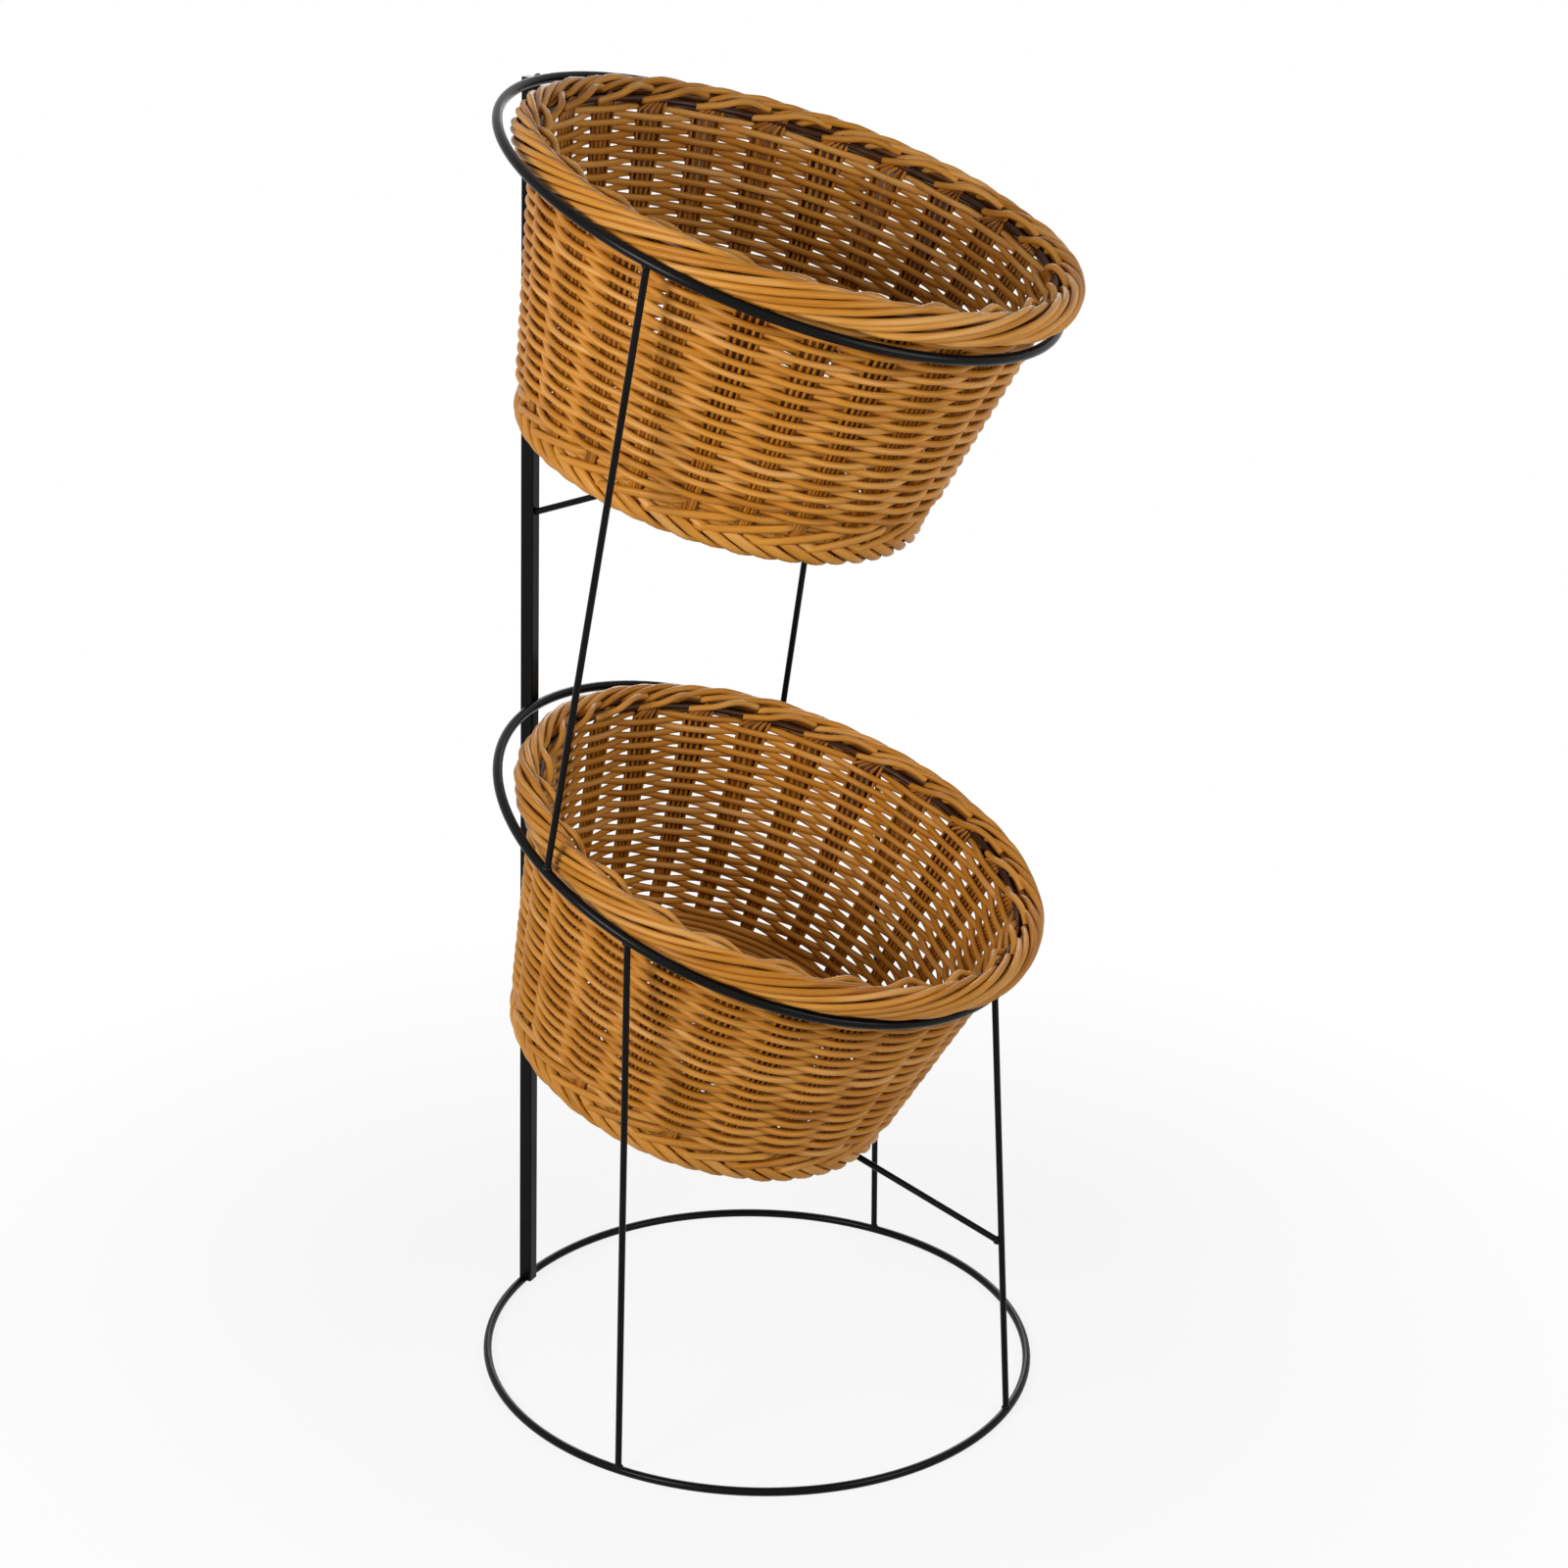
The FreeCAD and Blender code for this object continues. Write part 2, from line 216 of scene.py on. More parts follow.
# Camera, as fitted to the photograph's hoops and post; its picture is IMAGE pixels square
IMAGE = 1600.0
FOCAL_PIXELS = 3148.0
MIDDLE_PIXEL = (828.0, 788.0)
SENSOR = 36.0
EYE = (-1.811, -0.8808, 1.1882)
AZIMUTH = -64.82
ELEVATION = 20.01
ROLL = 1.83
FARTHEST = 200.0                  # how far the camera sees

# Light, with powers in watts
SKY = 0.2                         # strength of the even light from all sides
LAMPS = {
    "key": {"place": (-1.5, 0.4, 1.08), "size": 0.7, "power": 21.5, "colour": (1.0, 0.98, 0.95)},
    "fill": {"place": (-0.2, -1.2, 1.0), "size": 0.8, "power": 8.2, "colour": (0.97, 0.98, 1.0)},
    "back": {"place": (1.6, 0.7, 0.9), "size": 0.9, "power": 8.0, "colour": (1.0, 1.0, 1.0)},
}
LIT = (0.0, 0.0, 0.7)             # what the lamps point at


def unit(v):
    """Vectors of length 1."""
    return v / np.linalg.norm(v, axis=-1, keepdims=True)


def smooth(x):
    """0 below 0, 1 above 1, and an even change between."""
    x = np.clip(x, 0.0, 1.0)
    return x * x * (3 - 2 * x)


def cad_points(node):
    """Corners of a CAD piece."""
    mesh = frame["nodes"][node].data
    flat = np.empty(len(mesh.vertices) * 3)
    mesh.vertices.foreach_get("co", flat)
    return flat.reshape(-1, 3)


def ring_points(angle, radius, height):
    """Points about a basket's axis."""
    return np.stack(np.broadcast_arrays(radius * np.cos(angle), radius * np.sin(angle), height), -1)


def all_round(samples):
    """Even angles right round a basket, as one row."""
    return np.arange(samples)[None] * 2 * math.pi / samples


def rounded(points, samples, reach=CORNER_REACH):
    """Even samples along a line through points, its corners rounded over a share of its length."""
    points = np.array(points)
    step = np.linalg.norm(np.diff(points[:, :2], axis=0), axis=1)
    length = np.concatenate([[0.0], np.cumsum(step)])
    fine = CORNER_STEPS * samples
    even = np.linspace(0, length[-1], fine)
    line = np.stack([np.interp(even, length, column) for column in points.T], -1)
    window = int(reach * fine / 2)
    padded = np.concatenate([np.repeat(line[:1], window, 0), line, np.repeat(line[-1:], window, 0)])
    total = np.concatenate([np.zeros((1, line.shape[1])), np.cumsum(padded, 0)])
    soft = (total[2 * window + 1:] - total[:-2 * window - 1]) / (2 * window + 1)
    return soft[np.linspace(0, len(soft) - 1, samples).astype(int)]


class Place:
    """Where one basket stands and how large it is, measured on its CAD pieces."""

    def __init__(self, tier):
        self.name = tier + "_basket"
        floor = frame["nodes"][self.name + "_floor"].data
        up = np.array(max(floor.polygons, key=lambda face: face.area).normal)
        up = up * np.sign(up[2])
        side = np.array([1.0, 0.0, 0.0])
        self.axes = np.stack([side, np.cross(up, side), up])
        foot = cad_points(self.name + "_foot_border") @ self.axes.T
        middle = (foot.min(0) + foot.max(0)) / 2
        middle[2] = foot[:, 2].min()
        self.origin = middle @ self.axes

    def measure(self, piece):
        """Radii and heights of a CAD piece's corners."""
        local = (cad_points(self.name + "_" + piece) - self.origin) @ self.axes.T
        return np.hypot(local[:, 0], local[:, 1]), local[:, 2]

    def span(self, piece):
        """Inner and outer radius, underside and top of a CAD piece."""
        radius, height = self.measure(piece)
        return radius.min(), radius.max(), height.min(), height.max()

    def wall_line(self):
        """Heights of the wall's two ends, and the radius of its middle there."""
        radius, height = self.measure("wall")
        ends = []
        for level in (height.min(), height.max()):
            there = radius[abs(height - level) < SAME_LEVEL * MM]
            ends.append((level, (there.min() + there.max()) / 2))
        return ends


def sweep(centre, normal, thick, wide, tone, closed=False, sides=SIDES):
    """Ovals along many paths at once: centre and normal are (strand, sample, xyz), sizes are halves."""
    ahead = np.roll(centre, -1, 1) - np.roll(centre, 1, 1)
    if not closed:
        ahead[:, 0] = centre[:, 1] - centre[:, 0]
        ahead[:, -1] = centre[:, -1] - centre[:, -2]
    along = unit(ahead)
    across = unit(np.cross(along, normal))
    out = np.cross(across, along)
    turn = np.arange(sides) * 2 * math.pi / sides
    shape = centre.shape[:2] + (1,)
    off_out = np.broadcast_to(np.asarray(thick, float)[..., None], shape) * np.cos(turn)
    off_across = np.broadcast_to(np.asarray(wide, float)[..., None], shape) * np.sin(turn)
    points = centre[:, :, None] + off_out[..., None] * out[:, :, None]
    points = points + off_across[..., None] * across[:, :, None]
    steps = np.linalg.norm(np.diff(centre, axis=1), axis=-1)
    length = np.concatenate([np.zeros((len(centre), 1)), np.cumsum(steps, 1)], 1)
    length = length + GRAIN_SHIFT * np.asarray(tone)[:, None]
    grain = np.stack([np.broadcast_to(length[..., None], off_out.shape), off_out, off_across], -1)
    return {"points": points, "grain": grain, "tone": np.asarray(tone), "closed": closed}


def strand_faces(count, samples, sides, closed, first):
    """Quads of all strands of a sweep, and the caps of open ones."""
    segments = samples if closed else samples - 1
    k, i, j = np.meshgrid(np.arange(count), np.arange(segments), np.arange(sides), indexing="ij")
    i2 = (i + 1) % samples
    j2 = (j + 1) % sides
    here = first + (k * samples + i) * sides
    ahead = first + (k * samples + i2) * sides
    quads = np.stack([here + j, here + j2, ahead + j2, ahead + j], -1)
    caps = []
    if not closed:
        start = first + np.arange(count)[:, None] * samples * sides + np.arange(sides)
        caps = [start[:, ::-1], start + (samples - 1) * sides]
    return quads, caps


def strand_map(sweeps):
    """Lays every strand flat in one square, in rows, so that its finish can be baked without a seam."""
    sizes = []
    for s in sweeps:
        count, samples, sides = s["points"].shape[:3]
        sizes += [(samples + 2, sides + 1)] * count
    width = max(max(w for w, _ in sizes), math.ceil(math.sqrt(sum(w * h for w, h in sizes))))
    places = []
    x = y = tall = 0
    for w, h in sizes:
        if x + w > width:
            x = 0
            y += tall
            tall = 0
        places.append((x, y))
        x += w
        tall = max(tall, h)
    return np.array(places, float), float(max(width, y + tall))


def woven(name, sweeps, material):
    """One mesh of many strands, with its grain, its tones, which carry painted shade for covered strands,
    and a flat map.
    """
    places, side = strand_map(sweeps)
    faces = []
    flat = []
    first = 0
    strand = 0
    for s in sweeps:
        count, samples, sides = s["points"].shape[:3]
        quads, caps = strand_faces(count, samples, sides, s["closed"], first)
        corner = places[strand:strand + count, None, None, None]
        segments = quads.shape[1]
        i, j = np.meshgrid(np.arange(segments), np.arange(sides), indexing="ij")
        cell = np.stack([np.stack([i + a, j + b], -1) for a, b in ((0, 0), (0, 1), (1, 1), (1, 0))], -2)
        faces += quads.reshape(-1, 4).tolist()
        flat.append((corner + cell).reshape(-1, 2))
        turn = np.arange(sides) * 2 * math.pi / sides
        disc = 0.5 + CAP_RADIUS * np.stack([np.cos(turn), np.sin(turn)], -1)
        for number, cap in enumerate(caps):
            faces += cap.tolist()
            flat.append((corner[:, 0, 0] + np.array([samples, number * CAP_STEP]) + disc).reshape(-1, 2))
        first += count * samples * sides
        strand += count
    mesh = bpy.data.meshes.new(name)
    mesh.from_pydata(np.concatenate([s["points"].reshape(-1, 3) for s in sweeps]).tolist(), [], faces)
    uv = mesh.uv_layers.new(name="OFBake")
    uv.data.foreach_set("uv", (np.concatenate(flat) / side).ravel())
    grain = mesh.attributes.new("grain", "FLOAT_VECTOR", "POINT")
    grain.data.foreach_set("vector", np.concatenate([s["grain"].reshape(-1) for s in sweeps]))
    # Tone of each strand: its own random tone, lowered as painted shade for strands deep in the weave
    tone = mesh.attributes.new("tone", "FLOAT", "POINT")
    tone.data.foreach_set("value", np.concatenate([
        np.repeat(s["tone"], s["points"].shape[1] * s["points"].shape[2]) for s in sweeps]))
    mesh.shade_smooth()
    mesh.materials.append(material)
    piece = bpy.data.objects.new(name, mesh)
    bpy.context.scene.collection.objects.link(piece)
    return piece


class Weaver:
    """Weaves the five pieces of one basket."""

    def __init__(self, tier, seed):
        self.place = Place(tier)
        self.turn = math.radians(STAKE_START)
        self.rng = np.random.default_rng(seed)
        (self.wall_low, low_radius), (self.wall_high, high_radius) = self.place.wall_line()
        self.slope = (high_radius - low_radius) / (self.wall_high - self.wall_low)
        self.low_radius = low_radius
        self.rim = self.place.span("rim_border")
        self.foot = self.place.span("foot_border")
        self.floor = self.place.span("floor")

    def tones(self, count):
        """A random tone for each strand."""
        return self.rng.random(count)

    def wall_radius(self, height):
        """Radius of the middle of the wall."""
        return self.low_radius + (height - self.wall_low) * self.slope

    def stake_shift(self, height):
        """How far a stake has turned round the basket at a height."""
        fall = (self.rim[2] - height) / (self.rim[2] - self.wall_low)
        return self.turn - math.radians(STAKE_LEAN) * fall

    def wall_frame(self, angle, height):
        """Points of the middle of the wall, and the way out of it."""
        centre = ring_points(angle, self.wall_radius(height), height)
        lean = math.atan(self.slope)
        out = ring_points(angle, math.cos(lean), -math.sin(lean))
        return centre, out

    def ripple(self, angle, count, size):
        """Slow random waves round the basket, one set for each strand."""
        total = np.zeros((count, angle.shape[-1]))
        for waves in RIPPLES:
            phase = self.rng.random((count, 1)) * 2 * math.pi
            total += self.rng.normal(0, size / 2, (count, 1)) * np.sin(waves * angle + phase)
        return total

    def wall(self):
        """Rows of weavers that pass in front of one stake and behind the next."""
        samples = STAKES * WEAVER_POINTS
        first = self.wall_low + FIRST_ROW * MM
        last = self.wall_high + LAST_ROW * MM
        level = np.linspace(first, last, WALL_ROWS)[:, None]
        angle = all_round(samples)
        wave = np.tanh(WEAVE_SNAP * np.cos(STAKES / 2 * angle)) / math.tanh(WEAVE_SNAP)
        side = np.where(np.arange(WALL_ROWS) % 2, -1.0, 1.0)[:, None]
        # Each pass over a stake sits a little differently
        passes = self.rng.normal(0, 1, (WALL_ROWS, STAKES, 2))
        nearest = np.round(angle[0] / (2 * math.pi) * STAKES).astype(int) % STAKES
        loose = passes[:, nearest] * np.abs(wave)[..., None] ** 2
        height = level + WEAVER_PLAY * MM * loose[..., 0] + self.ripple(angle, WALL_ROWS, WEAVER_PLAY * MM)
        height = height + WEAVE_RIDE / 2 * MM * side * wave
        centre, out = self.wall_frame(angle + self.stake_shift(level), height)
        depth = WEAVE_OUT * MM + WEAVE_DEPTH * MM * side * wave * (1 + WEAVER_SWAY * loose[..., 1])
        centre = centre + depth[..., None] * out
        size = 1 + self.rng.normal(0, WEAVER_VARY, (WALL_ROWS, 1))
        float_height = np.where(side * wave > 0, FLOAT_OUTSIDE, FLOAT_INSIDE)
        tall = (CROSS_HEIGHT + (float_height - CROSS_HEIGHT) * np.abs(wave)) / 2 * MM * size
        thick = np.full_like(tall, WEAVER_THICKNESS / 2 * MM)
        return [sweep(centre, out, thick, tall, self.tones(WALL_ROWS), closed=True), self.back_rows()]

    def back_rows(self):
        """Plain rows behind the stakes, just above the floor."""
        level = self.wall_low + np.array(BACK_ROWS)[:, None] * MM
        angle = all_round(STAKES * BACK_POINTS)
        centre, out = self.wall_frame(angle, level + self.ripple(angle, len(level), WEAVER_PLAY * MM))
        centre = centre - WEAVE_DEPTH * MM * out
        return sweep(centre, out, WEAVER_THICKNESS / 2 * MM, CROSS_HEIGHT / 2 * MM, self.tones(len(level)),
                     closed=True)

    def stakes(self):
        """Bundles of upright strands, which show between the weavers and in the row under the border, in a
        lower tone of painted shade, with a flat strip of painted shade in the gaps of each bundle.
        """
        samples = STAKE_POINTS
        low = self.foot[3] - STAKE_BELOW * MM
        high = self.rim[3] - STAKE_ABOVE * MM
        height = np.linspace(low, high, samples)[None, None]
        number = np.arange(STAKES)[:, None, None]
        strand = np.arange(BUNDLE)[None, :, None] - (BUNDLE - 1) / 2
        up = np.clip((height - self.wall_low) / (self.wall_high - self.wall_low), 0.0, 1.0)
        step = (BUNDLE_STEP_FOOT + (BUNDLE_STEP_TOP - BUNDLE_STEP_FOOT) * up) * MM
        bend = self.rng.normal(0, STAKE_BEND * MM, (STAKES, BUNDLE, samples))
        last = self.wall_high + LAST_ROW * MM
        over = smooth((height - last) / (high - last))
        step = step * (1 - STAKE_GATHER * over)
        aside = strand * step + bend - STAKE_TURN * MM * over
        middle = number * 2 * math.pi / STAKES + self.stake_shift(height)
        centre, out = self.wall_frame(middle + aside / self.wall_radius(height), height + 0 * aside)
        shape = (STAKES * BUNDLE, samples, 3)
        half = STAKE_STRAND / 2 * MM
        # Each bundle's strands take the lower tone of painted shade
        round_ones = sweep(centre.reshape(shape), out.reshape(shape), half, half,
                           SHADE_COVERED + self.tones(STAKES * BUNDLE), sides=COVERED_SIDES)
        # A flat dark strip of painted shade fills the gaps between each bundle's strands
        middle = middle[:, 0] - (STAKE_TURN * MM * over / self.wall_radius(height))[0]
        centre, out = self.wall_frame(middle, height[0] + 0 * middle)
        wide = (BUNDLE - 1) / 2 * step[0] + 0 * middle
        shade_strips = sweep(centre, out, SHADE_STRIP / 2 * MM, wide, SHADE_DEEP + self.tones(STAKES),
                          sides=COVERED_SIDES)
        return [round_ones, shade_strips]

    def rolled(self, path, start, lift, thick, wide):
        """Strands that all roll along one path of (radius, height, pitch), each from its own angle."""
        radius, height, pitch = path.T
        step = np.hypot(np.diff(radius), np.diff(height))
        run = step / np.tan(np.radians((pitch[1:] + pitch[:-1]) / 2)) / ((radius[1:] + radius[:-1]) / 2)
        angle = start[:, None] + np.concatenate([[0.0], np.cumsum(run)])
        off_radius = np.gradient(height)
        off_height = -np.gradient(radius)
        away = (radius - radius.mean()) * off_radius + (height - height.mean()) * off_height
        share = np.sign(away.sum()) / np.hypot(off_radius, off_height)
        off_radius = off_radius * share
        off_height = off_height * share
        centre = ring_points(angle, radius + lift * off_radius, height + lift * off_height)
        out = ring_points(angle, off_radius[None], off_height[None])
        size = 1 + self.rng.normal(0, ROLL_VARY, (len(start), 1))
        thick = np.broadcast_to(thick, centre.shape[:2])
        return sweep(centre, out, thick, wide * size, self.tones(len(start)))

    def core(self, spots):
        """Strands that run round inside a border, at (radius, height) spots, toned dark as painted shade of
        the border's inside.
        """
        spots = np.array(spots)
        angle = all_round(CORE_POINTS)
        radius = spots[:, :1] + self.ripple(angle, len(spots), WEAVER_PLAY * MM)
        centre = ring_points(angle, radius, spots[:, 1:])
        out = ring_points(angle + 0 * radius, 1.0, 0.0)
        half = CORE_STRAND / 2 * MM
        # Their dark tone is painted shade
        return sweep(centre, out, half, half, SHADE_DEEP + self.tones(len(spots)), closed=True,
                     sides=COVERED_SIDES)

    def rim_border(self):
        """The rolled border: strands that climb the outside, cross the top and dive in on the inside."""
        outside, top = self.rim[1], self.rim[3]
        path = rounded([(outside - a * MM, top - b * MM, pitch) for a, b, pitch in RIM_ROLL], RIM_POINTS)
        count = STAKES * RIM_STRANDS
        number = np.arange(count)
        step = number // RIM_STRANDS + RIM_PAIR * (number % RIM_STRANDS)
        start = step * 2 * math.pi / STAKES + self.turn
        start = start + self.rng.normal(0, RIM_PLAY * math.radians(1), count)
        lift = np.minimum(self.rng.normal(0, RIM_PLAY * MM, (count, 1)), RIM_PLAY * MM)
        strands = self.rolled(path, start, lift, RIM_THICKNESS / 2 * MM, RIM_WIDTH / 2 * MM)
        return [strands, self.lip(), self.core([(outside - a * MM, top - b * MM) for a, b in RIM_CORE])]

    def lip(self):
        """Short strands that come out on the border's inner edge, one for each stake, and go down in."""
        path = rounded(LIP_ROLL, SHORT_POINTS, reach=LIP_CORNERS)
        start = np.arange(STAKES)[:, None] * 2 * math.pi / STAKES + self.turn
        start = start + self.rng.normal(0, RIM_PLAY * math.radians(1), (STAKES, 1))
        angle = start + math.radians(LIP_REACH) * np.linspace(0, 1, len(path))
        inward = path[:, 0] + self.rng.normal(0, RIM_PLAY, (STAKES, 1))
        centre = ring_points(angle, self.rim[1] - inward * MM, self.rim[3] - path[:, 1] * MM)
        out = ring_points(angle, *LIP_OUT)
        half = np.full(angle.shape, LIP_STRAND / 2 * MM)
        return sweep(centre, out, half, half, self.tones(STAKES))

    def foot_border(self):
        """The foot: strands that roll down and under, and above them a ring of longer ones that rise."""
        outside, low = self.foot[1], self.foot[2]
        path = rounded([(outside - a * MM, low + b * MM, pitch) for a, b, pitch in FOOT_ROLL], FOOT_POINTS)
        count = STAKES * FOOT_STRANDS
        start = np.arange(count) * 2 * math.pi / count + self.turn
        start = start + self.rng.normal(0, math.radians(FOOT_TURN), count)
        lift = np.minimum(self.rng.normal(0, FOOT_PLAY * MM, (count, 1)), FOOT_PLAY_OUT * MM)
        strands = self.rolled(path, start, lift, FOOT_THICKNESS / 2 * MM, FOOT_WIDTH / 2 * MM)
        return [strands, self.risers(), self.core([(outside - a * MM, low + b * MM) for a, b in FOOT_CORE])]

    def risers(self):
        """Strands that come out over the foot, rise along it past one stake and go in again."""
        along = np.linspace(0, 1, SHORT_POINTS)[None]
        start = np.arange(STAKES)[:, None] * 2 * math.pi / STAKES + self.turn
        start = start + self.rng.normal(0, math.radians(FOOT_TURN), (STAKES, 1))
        angle = start + math.radians(RISER_REACH) * along
        height = self.foot[2] + (RISER_FROM + (RISER_TO - RISER_FROM) * along) * MM
        shown = smooth(along / RISER_END) * smooth((1 - along) / RISER_END)
        outside = self.foot[1] + (self.wall_radius(height) - self.wall_radius(self.foot[3])) * along
        radius = outside - FOOT_THICKNESS / 2 * MM - RISER_DIP * MM * (1 - shown)
        centre = ring_points(angle, radius, height)
        out = ring_points(angle, 1.0, -self.slope)
        wide = RISER_WIDTH / 2 * MM * (RISER_TAPER + (1 - RISER_TAPER) * shown) * np.ones_like(angle)
        return sweep(centre, out, FOOT_THICKNESS / 2 * MM * np.ones_like(angle), wide, self.tones(STAKES))

    def floor_disc(self):
        """Rings woven over spokes, half as many near the middle."""
        _, outer, low, high = self.floor
        level = (low + high) / 2
        change = FLOOR_CHANGE * outer
        sweeps = []
        first, last = FLOOR_START * MM, outer - FLOOR_EDGE * MM
        rings = np.linspace(first, last, 1 + round((last - first) / (FLOOR_PITCH * MM)))
        for spokes, chosen in ((STAKES // 2, rings[rings < change]), (STAKES, rings[rings >= change])):
            angle = all_round(spokes * WEAVER_POINTS)
            side = np.where(np.arange(len(chosen)) % 2, -1.0, 1.0)[:, None]
            depth = FLOOR_DEPTH * MM * side * np.cos(spokes / 2 * angle)
            radius = chosen[:, None] + self.ripple(angle, len(chosen), WEAVER_PLAY * MM)
            centre = ring_points(angle + self.turn, radius, level + depth)
            up = np.broadcast_to([0.0, 0.0, 1.0], centre.shape)
            half = FLOOR_STRAND / 2 * MM
            sweeps.append(sweep(centre, up, half, half * FLOOR_WIDE, self.tones(len(chosen)), closed=True))
        sweeps += self.spokes(SPOKE_STRAND / 2 * MM, outer, level, 0.0)
        sweeps += self.spokes(change - FLOOR_PITCH * MM, outer, level, 2 * math.pi / STAKES)
        return sweeps

    def spokes(self, begin, end, level, offset):
        """Pairs of straight strands across the floor."""
        samples = SPOKE_POINTS
        count = STAKES // 2
        angle = np.arange(count)[:, None] * 2 * math.pi / count + offset + self.turn
        reach = np.linspace(begin, end, samples)[None]
        half = SPOKE_STRAND / 2 * MM
        made = []
        for aside in (-half, half):
            centre = ring_points(angle + aside / reach, reach, np.full((count, samples), level))
            up = np.broadcast_to([0.0, 0.0, 1.0], centre.shape)
            made.append(sweep(centre, up, half * SPOKE_FLAT, half, self.tones(count), sides=SPOKE_SIDES))
        return made

    def weave(self, material):
        """Makes the pieces, sets them in place and lets each stand for its CAD solid."""
        made = {"wall": self.wall(), "rim_stakes": self.stakes(), "rim_border": self.rim_border(),
                "foot_border": self.foot_border(), "floor": self.floor_disc()}
        for part, sweeps in made.items():
            for s in sweeps:
                s["points"] = s["points"] @ self.place.axes + self.place.origin
            piece = woven("woven_" + self.place.name + "_" + part, sweeps, material)
            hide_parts(self.place.name + "_" + part)
            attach(piece, self.place.name)


class Nodes:
    """Short ways to make and join shader nodes."""

    def __init__(self, tree):
        self.tree = tree

    def add(self, kind, **settings):
        node = self.tree.nodes.new(kind)
        for key, value in settings.items():
            setattr(node, key, value)
        return node

    def link(self, source, target):
        self.tree.links.new(source, target)

    def noise(self, vector, scale, detail):
        node = self.add("ShaderNodeTexNoise")
        node.inputs["Scale"].default_value = scale
        node.inputs["Detail"].default_value = detail
        node.inputs["Roughness"].default_value = NOISE_ROUGHNESS
        self.link(vector, node.inputs["Vector"])
        return node.outputs["Fac"]

    def scaled(self, vector, scale):
        node = self.add("ShaderNodeMapping")
        node.inputs["Scale"].default_value = scale
        self.link(vector, node.inputs["Vector"])
        return node.outputs["Vector"]

    def ramp(self, factor, stops):
        """Colours along a range, from (place, colour) stops."""
        node = self.add("ShaderNodeValToRGB")
        marks = node.color_ramp.elements
        while len(marks) < len(stops):
            marks.new(0.5)
        for mark, (place, colour) in zip(marks, stops):
            mark.position = place
            mark.color = (*colour, 1.0)
        self.link(factor, node.inputs["Fac"])
        return node.outputs["Color"]

    def spread(self, value, low, high, start=0.25, stop=0.75):
        """Maps start to stop, by default the usual range of a noise, on to low to high."""
        node = self.add("ShaderNodeMapRange")
        for name, number in (("From Min", start), ("From Max", stop), ("To Min", low), ("To Max", high)):
            node.inputs[name].default_value = number
        self.link(value, node.inputs["Value"])
        return node.outputs["Result"]

    def sums(self, *parts):
        """Adds values, each with its own weight."""
        total = None
        for value, weight in parts:
            node = self.add("ShaderNodeMath", operation="MULTIPLY_ADD")
            node.inputs[1].default_value = weight
            node.inputs[2].default_value = 0.0
            self.link(value, node.inputs[0])
            if total is not None:
                self.link(total, node.inputs[2])
            total = node.outputs[0]
        return total

    def bump(self, height, strength, distance, shader):
        node = self.add("ShaderNodeBump")
        node.inputs["Strength"].default_value = strength
        node.inputs["Distance"].default_value = distance
        self.link(height, node.inputs["Height"])
        self.link(node.outputs["Normal"], shader.inputs["Normal"])


def painted(name):
    """A new material, its nodes and its shader."""
    material = bpy.data.materials.new(name)
    material.use_nodes = True
    return material, Nodes(material.node_tree), material.node_tree.nodes["Principled BSDF"]


def rattan():
    """Honey-brown woven strand: fine streaks along it, patches of tone, satin sheen."""
    material, n, shader = painted("rattan")
    grain = n.add("ShaderNodeAttribute", attribute_name="grain").outputs["Vector"]
    tone = n.add("ShaderNodeAttribute", attribute_name="tone").outputs["Fac"]
    streaks = n.noise(n.scaled(grain, STREAKS), 1.0, detail=4.0)
    patches = n.noise(n.scaled(grain, PATCHES), 1.0, detail=2.0)
    # The tone term lowers covered and deep strands into painted shade
    mix = n.sums((streaks, STREAK_SHARE), (patches, PATCH_SHARE), (tone, TONE_AND_SHADE_SHARE))
    n.link(n.ramp(mix, RATTAN_TONES), shader.inputs["Base Color"])
    n.link(n.spread(streaks, *RATTAN_ROUGHNESS), shader.inputs["Roughness"])
    shader.inputs["Specular IOR Level"].default_value = RATTAN_SPECULAR
    n.bump(streaks, STREAK_BUMP, STREAK_DEPTH * MM, shader)
    return material


def powder_coat():
    """Satin black paint with a fine orange peel."""
    material, n, shader = painted("powder_coat")
    place = n.add("ShaderNodeTexCoord").outputs["Object"]
    peel = n.noise(place, PEEL, detail=2.0)
    cloud = n.noise(place, CLOUD, detail=3.0)
    mix = n.sums((cloud, CLOUD_SHARE), (peel, PEEL_SHARE))
    n.link(n.ramp(cloud, PAINT_TONES), shader.inputs["Base Color"])
    n.link(n.spread(mix, *PAINT_ROUGHNESS), shader.inputs["Roughness"])
    shader.inputs["Specular IOR Level"].default_value = PAINT_SPECULAR
    n.bump(peel, PEEL_BUMP, PEEL_DEPTH * MM, shader)
    return material


def seen(n):
    """1 for rays that show a background: from the camera, a mirror or glass."""
    path = n.add("ShaderNodeLightPath")
    total = n.sums((path.outputs["Is Camera Ray"], 1.0), (path.outputs["Is Glossy Ray"], 1.0),
                   (path.outputs["Is Transmission Ray"], 1.0))
    node = n.add("ShaderNodeMath", operation="MINIMUM")
    node.inputs[1].default_value = 1.0
    n.link(total, node.inputs[0])
    return node.outputs[0]


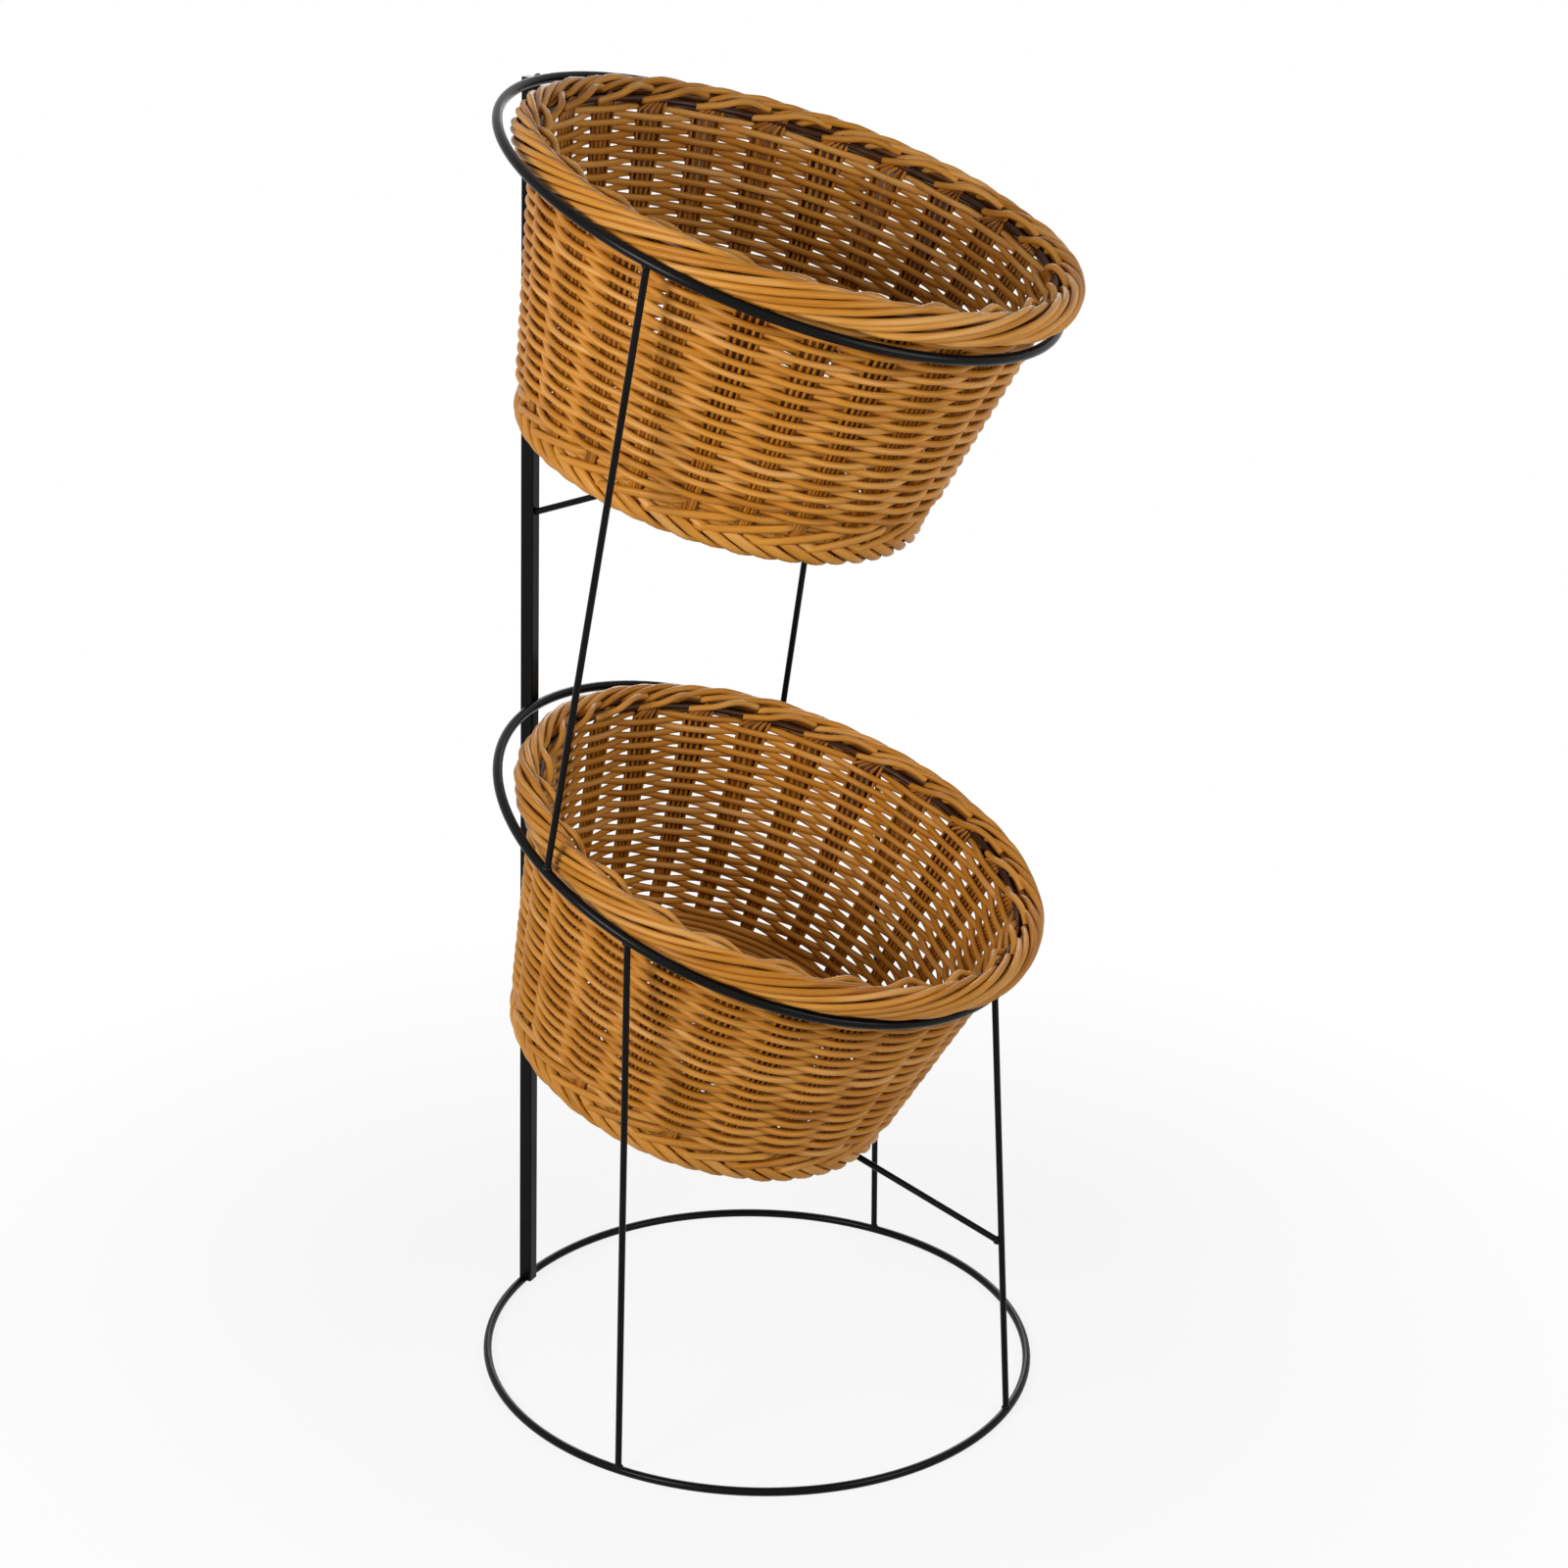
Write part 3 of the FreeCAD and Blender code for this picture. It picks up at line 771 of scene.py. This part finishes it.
def floor_paint():
    """Pale floor that takes the object's shadow and turns to plain white further off."""
    material, n, shader = painted("floor_paint")
    shader.inputs["Base Color"].default_value = FLOOR_COLOUR
    shader.inputs["Roughness"].default_value = FLOOR_ROUGHNESS
    shader.inputs["Specular IOR Level"].default_value = 0.0
    white = n.add("ShaderNodeEmission")
    place = n.add("ShaderNodeNewGeometry").outputs["Position"]
    reach = n.add("ShaderNodeVectorMath", operation="LENGTH")
    n.link(place, reach.inputs[0])
    far = n.spread(reach.outputs["Value"], *FLOOR_WHITE, *FLOOR_FADE)
    share = n.add("ShaderNodeMath", operation="MULTIPLY")
    n.link(far, share.inputs[0])
    n.link(seen(n), share.inputs[1])
    mix = n.add("ShaderNodeMixShader")
    n.link(share.outputs[0], mix.inputs["Fac"])
    n.link(shader.outputs["BSDF"], mix.inputs[1])
    n.link(white.outputs["Emission"], mix.inputs[2])
    n.link(mix.outputs["Shader"], material.node_tree.nodes["Material Output"].inputs["Surface"])
    return material


def floor():
    """One wide plane under the stand."""
    half = FLOOR_HALF
    corners = [(-half, -half, 0), (half, -half, 0), (half, half, 0), (-half, half, 0)]
    mesh = bpy.data.meshes.new("floor")
    mesh.from_pydata(corners, [], [(0, 1, 2, 3)])
    mesh.materials.append(floor_paint())
    plane = bpy.data.objects.new("floor", mesh)
    bpy.context.scene.collection.objects.link(plane)


def wire_ends(node):
    """The two ends of a straight wire's middle line, and the way it runs."""
    points = cad_points(node)
    middle = points.mean(0)
    along = np.linalg.svd(points - middle, full_matrices=False)[2][0]
    reach = (points - middle) @ along
    return [middle + along * reach.min(), middle + along * reach.max()], along


def welds(material):
    """Beads where wires meet hoops, post and each other."""
    rng = np.random.default_rng(BEAD_SEED)
    spots = []
    for wire in WELDED_WIRES:
        ends, along = wire_ends(wire)
        spots += [(end, along, WIRE_BEAD) for end in ends]
    post_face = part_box("back_post")[0].y
    for hoop in WELDED_HOOPS:
        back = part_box(hoop)[1].z - HOOP_ROD / 2 * MM
        spots.append((np.array([0.0, post_face, back]), np.array([1.0, 0.0, 0.0]), HOOP_BEAD))
    beads = [bead(spot, along, size * MM, rng) for spot, along, size in spots]
    piece = woven("weld_beads", beads, material)
    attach(piece, "frame")


def bead(spot, along, size, rng):
    """A small uneven lump about a wire."""
    reach = np.linspace(-1, 1, BEAD_POINTS)[None]
    centre = spot + (reach[..., None] * BEAD_REACH * size) * along
    aside = unit(np.cross(along, NO_WIRE))
    normal = np.broadcast_to(aside, centre.shape)
    round_off = np.sqrt(np.maximum(1 - (BEAD_BLUNT * reach) ** 2, 0.0)) * size
    rough = 1 + rng.normal(0, BEAD_VARY, reach.shape)
    return sweep(centre, normal, round_off * rough, round_off, [rng.random()], sides=BEAD_SIDES)


def lamp(name, place, size, power, colour):
    """A soft round lamp that points at the stand."""
    light = bpy.data.lights.new(name, "AREA")
    light.shape = "DISK"
    light.size = size
    light.energy = power
    light.color = colour
    holder = bpy.data.objects.new(name, light)
    holder.location = place
    holder.rotation_euler = (Vector(LIT) - Vector(place)).to_track_quat("-Z", "Y").to_euler()
    bpy.context.scene.collection.objects.link(holder)


def world():
    """Even white light, and a white background."""
    sky = bpy.data.worlds.new("studio")
    sky.use_nodes = True
    bpy.context.scene.world = sky
    n = Nodes(sky.node_tree)
    back = sky.node_tree.nodes["Background"]
    back.inputs["Color"].default_value = (1.0, 1.0, 1.0, 1.0)
    n.link(n.spread(seen(n), SKY, 1.0, start=0.0, stop=1.0), back.inputs["Strength"])


def camera():
    """The photograph's viewpoint and framing."""
    az = math.radians(AZIMUTH)
    el = math.radians(ELEVATION)
    roll = math.radians(ROLL)
    right = Vector((math.cos(az), math.sin(az), 0))
    back = Vector((math.sin(az) * math.cos(el), -math.cos(az) * math.cos(el), math.sin(el)))
    up = back.cross(right)
    across = right * math.cos(roll) + up * math.sin(roll)
    upward = up * math.cos(roll) - right * math.sin(roll)
    lens = bpy.data.cameras.new("camera")
    lens.sensor_width = SENSOR
    lens.lens = FOCAL_PIXELS / IMAGE * SENSOR
    lens.shift_x = (IMAGE / 2 - MIDDLE_PIXEL[0]) / IMAGE
    lens.shift_y = (MIDDLE_PIXEL[1] - IMAGE / 2) / IMAGE
    lens.clip_end = FARTHEST
    holder = bpy.data.objects.new("camera", lens)
    turn = Matrix((across, upward, back)).transposed().to_4x4()
    holder.matrix_world = Matrix.Translation(EYE) @ turn
    bpy.context.scene.collection.objects.link(holder)
    bpy.context.scene.camera = holder


bpy.context.scene.view_settings.view_transform = "Standard"
paint = powder_coat()
for node in frame["record"]["behaviour"]["bodies"]["frame"]:
    materials = frame["nodes"][node].data.materials
    materials.clear()
    materials.append(paint)
strand = rattan()
for tier, seed in BASKET_SEEDS.items():
    Weaver(tier, seed).weave(strand)
welds(paint)
floor()
world()
for name, settings in LAMPS.items():
    lamp(name, **settings)
camera()
